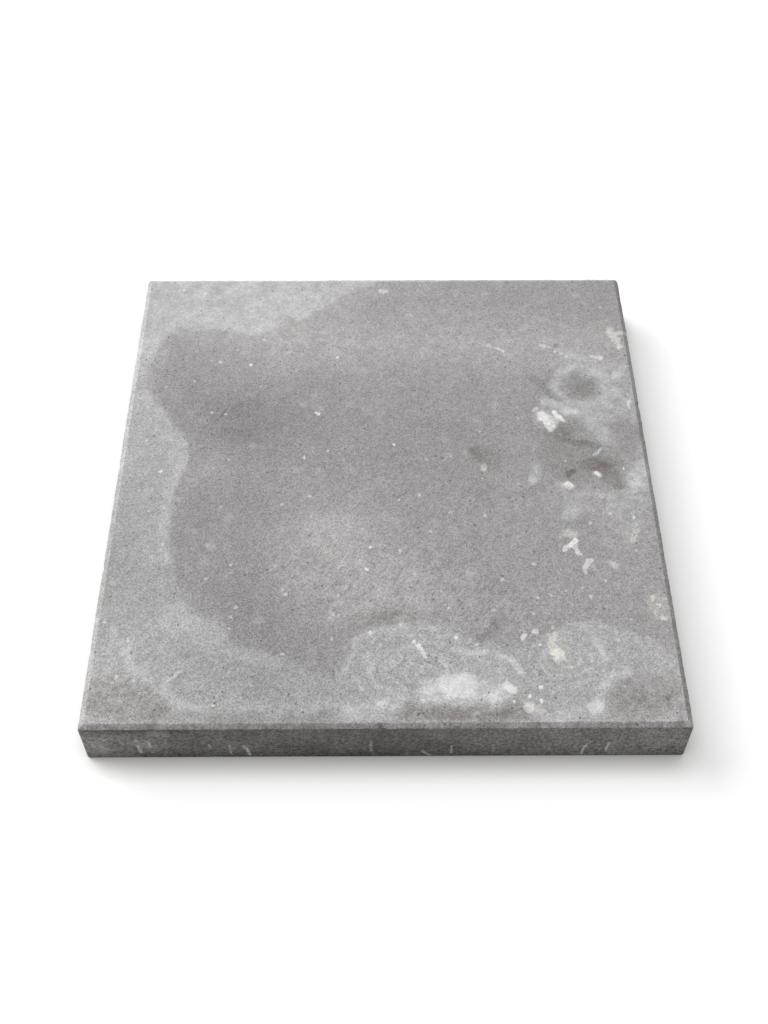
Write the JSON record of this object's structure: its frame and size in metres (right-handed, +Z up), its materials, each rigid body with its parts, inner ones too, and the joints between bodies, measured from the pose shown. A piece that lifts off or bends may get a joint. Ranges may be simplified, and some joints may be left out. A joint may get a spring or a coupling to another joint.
{
  "type": "concrete paving slab",
  "caption": "Square concrete paving slab, cast in one piece, with a chamfered walking face and a flat bed, for laying paths and patios.",
  "frame": {"origin": "middle of the bed face, which lies on the ground", "axes": "+Z up out of the walking face, +X to the right and +Y away from the picture's viewer, both square to the sides"},
  "size_m": [0.45, 0.45, 0.05],
  "materials": {
    "concrete": "matt"
  },
  "bodies": {
    "root": {"slab": "concrete"}
  },
  "joints": []
}
